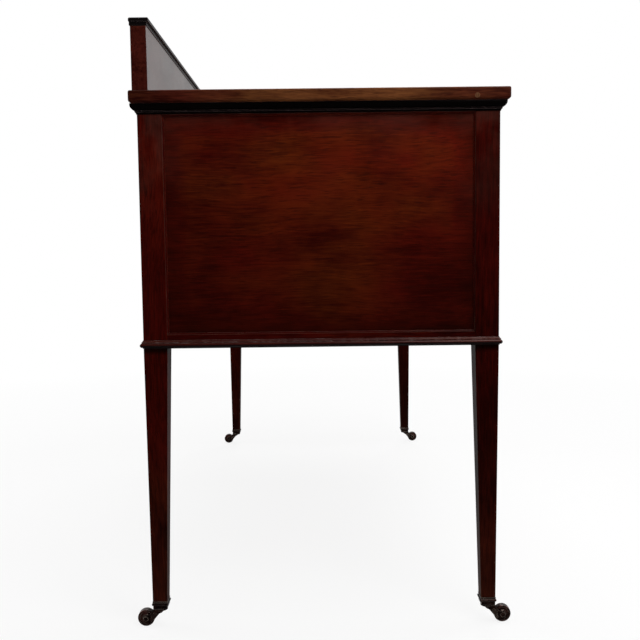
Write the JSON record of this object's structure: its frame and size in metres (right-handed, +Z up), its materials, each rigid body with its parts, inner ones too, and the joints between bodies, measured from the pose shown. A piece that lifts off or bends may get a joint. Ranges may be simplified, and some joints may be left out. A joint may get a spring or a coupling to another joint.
{
  "type": "writing table",
  "caption": "Kneehole writing table with tapering legs on castors, dovetailed drawers with hanging handles, a leather top and a low gallery at the back.",
  "frame": {"origin": "on the floor under the middle of the carcass", "axes": "+Z up, +X to the right along the length as seen from the front, +Y to the back where the gallery stands, so that the drawers open towards -Y"},
  "size_m": [1.22, 0.5426, 0.8585],
  "materials": {
    "mahogany": "polished, aged",
    "ebonised": "ebonised, satin",
    "leather": "tooled skiver, worn",
    "oak": "waxed lining wood",
    "brass": "dark patina"
  },
  "bodies": {
    "carcass": {"side_panel_left": "mahogany", "side_panel_right": "mahogany", "side_rails_left": "mahogany", "side_rails_right": "mahogany", "panel_beads": "mahogany", "back_panels": "mahogany", "back_rails": "mahogany", "kneehole_side_left": "mahogany", "kneehole_side_right": "mahogany", "front_rails": "mahogany", "top_board": "mahogany", "gallery_board": "mahogany", "base_mouldings": "mahogany", "leg_front_left": "mahogany", "leg_front_right": "mahogany", "leg_back_left": "mahogany", "leg_back_right": "mahogany", "top_moulding": "ebonised", "gallery_cap": "ebonised", "drawer_runners": "oak", "pedestal_bottoms": "oak", "writing_leather": "leather", "castor_cup_front_left": "brass", "castor_cup_front_right": "brass", "castor_cup_back_left": "brass", "castor_cup_back_right": "brass"},
    "castor_front_left": {"castor_horn_front_left": "brass"},
    "wheel_front_left": {"castor_wheel_front_left": "brass"},
    "castor_front_right": {"castor_horn_front_right": "brass"},
    "wheel_front_right": {"castor_wheel_front_right": "brass"},
    "castor_back_left": {"castor_horn_back_left": "brass"},
    "wheel_back_left": {"castor_wheel_back_left": "brass"},
    "castor_back_right": {"castor_horn_back_right": "brass"},
    "wheel_back_right": {"castor_wheel_back_right": "brass"},
    "centre_drawer": {"centre_drawer_front": "mahogany", "centre_drawer_box": "oak", "centre_drawer_bottom": "oak", "centre_drawer_fittings": "brass"},
    "centre_drawer_bail_left": {"centre_drawer_bail_left": "brass"},
    "centre_drawer_bail_right": {"centre_drawer_bail_right": "brass"},
    "left_top_drawer": {"left_top_drawer_front": "mahogany", "left_top_drawer_box": "oak", "left_top_drawer_bottom": "oak", "left_top_drawer_fittings": "brass"},
    "left_top_drawer_bail": {"left_top_drawer_bail": "brass"},
    "left_low_drawer": {"left_low_drawer_front": "mahogany", "left_low_drawer_box": "oak", "left_low_drawer_bottom": "oak", "left_low_drawer_fittings": "brass"},
    "left_low_drawer_bail": {"left_low_drawer_bail": "brass"},
    "right_top_drawer": {"right_top_drawer_front": "mahogany", "right_top_drawer_box": "oak", "right_top_drawer_bottom": "oak", "right_top_drawer_fittings": "brass"},
    "right_top_drawer_bail": {"right_top_drawer_bail": "brass"},
    "right_low_drawer": {"right_low_drawer_front": "mahogany", "right_low_drawer_box": "oak", "right_low_drawer_bottom": "oak", "right_low_drawer_fittings": "brass"},
    "right_low_drawer_bail": {"right_low_drawer_bail": "brass"}
  },
  "joints": [
    {"name": "castor_swivel_front_left", "type": "hinge", "parent": "carcass", "child": "castor_front_left", "pos_m": [-0.5843, -0.2373, 0.0298], "axis": [0, 0, 1], "continuous": true},
    {"name": "castor_roll_front_left", "type": "hinge", "parent": "castor_front_left", "child": "wheel_front_left", "pos_m": [-0.5843, -0.2592, 0.0121], "axis": [1, 0, 0], "continuous": true},
    {"name": "castor_swivel_front_right", "type": "hinge", "parent": "carcass", "child": "castor_front_right", "pos_m": [0.5843, -0.2373, 0.0298], "axis": [0, 0, 1], "continuous": true},
    {"name": "castor_roll_front_right", "type": "hinge", "parent": "castor_front_right", "child": "wheel_front_right", "pos_m": [0.5843, -0.2592, 0.0121], "axis": [1, 0, 0], "continuous": true},
    {"name": "castor_swivel_back_left", "type": "hinge", "parent": "carcass", "child": "castor_back_left", "pos_m": [-0.5843, 0.2373, 0.0298], "axis": [0, 0, 1], "continuous": true},
    {"name": "castor_roll_back_left", "type": "hinge", "parent": "castor_back_left", "child": "wheel_back_left", "pos_m": [-0.5843, 0.2592, 0.0121], "axis": [1, 0, 0], "continuous": true},
    {"name": "castor_swivel_back_right", "type": "hinge", "parent": "carcass", "child": "castor_back_right", "pos_m": [0.5843, 0.2373, 0.0298], "axis": [0, 0, 1], "continuous": true},
    {"name": "castor_roll_back_right", "type": "hinge", "parent": "castor_back_right", "child": "wheel_back_right", "pos_m": [0.5843, 0.2592, 0.0121], "axis": [1, 0, 0], "continuous": true},
    {"name": "centre_drawer_slide", "type": "slide", "parent": "carcass", "child": "centre_drawer", "axis": [0, -1, 0], "range_m": [0, 0.33]},
    {"name": "centre_drawer_bail_left_hinge", "type": "hinge", "parent": "centre_drawer", "child": "centre_drawer_bail_left", "pos_m": [-0.15, -0.2595, 0.681], "axis": [-1, 0, 0], "range_deg": [0, 80]},
    {"name": "centre_drawer_bail_right_hinge", "type": "hinge", "parent": "centre_drawer", "child": "centre_drawer_bail_right", "pos_m": [0.15, -0.2595, 0.681], "axis": [-1, 0, 0], "range_deg": [0, 80]},
    {"name": "left_top_drawer_slide", "type": "slide", "parent": "carcass", "child": "left_top_drawer", "axis": [0, -1, 0], "range_m": [0, 0.33]},
    {"name": "left_top_drawer_bail_hinge", "type": "hinge", "parent": "left_top_drawer", "child": "left_top_drawer_bail", "pos_m": [-0.42175, -0.2595, 0.681], "axis": [-1, 0, 0], "range_deg": [0, 80]},
    {"name": "left_low_drawer_slide", "type": "slide", "parent": "carcass", "child": "left_low_drawer", "axis": [0, -1, 0], "range_m": [0, 0.33]},
    {"name": "left_low_drawer_bail_hinge", "type": "hinge", "parent": "left_low_drawer", "child": "left_low_drawer_bail", "pos_m": [-0.42175, -0.2595, 0.5215], "axis": [-1, 0, 0], "range_deg": [0, 80]},
    {"name": "right_top_drawer_slide", "type": "slide", "parent": "carcass", "child": "right_top_drawer", "axis": [0, -1, 0], "range_m": [0, 0.33]},
    {"name": "right_top_drawer_bail_hinge", "type": "hinge", "parent": "right_top_drawer", "child": "right_top_drawer_bail", "pos_m": [0.42175, -0.2595, 0.681], "axis": [-1, 0, 0], "range_deg": [0, 80]},
    {"name": "right_low_drawer_slide", "type": "slide", "parent": "carcass", "child": "right_low_drawer", "axis": [0, -1, 0], "range_m": [0, 0.33]},
    {"name": "right_low_drawer_bail_hinge", "type": "hinge", "parent": "right_low_drawer", "child": "right_low_drawer_bail", "pos_m": [0.42175, -0.2595, 0.5215], "axis": [-1, 0, 0], "range_deg": [0, 80]}
  ]
}
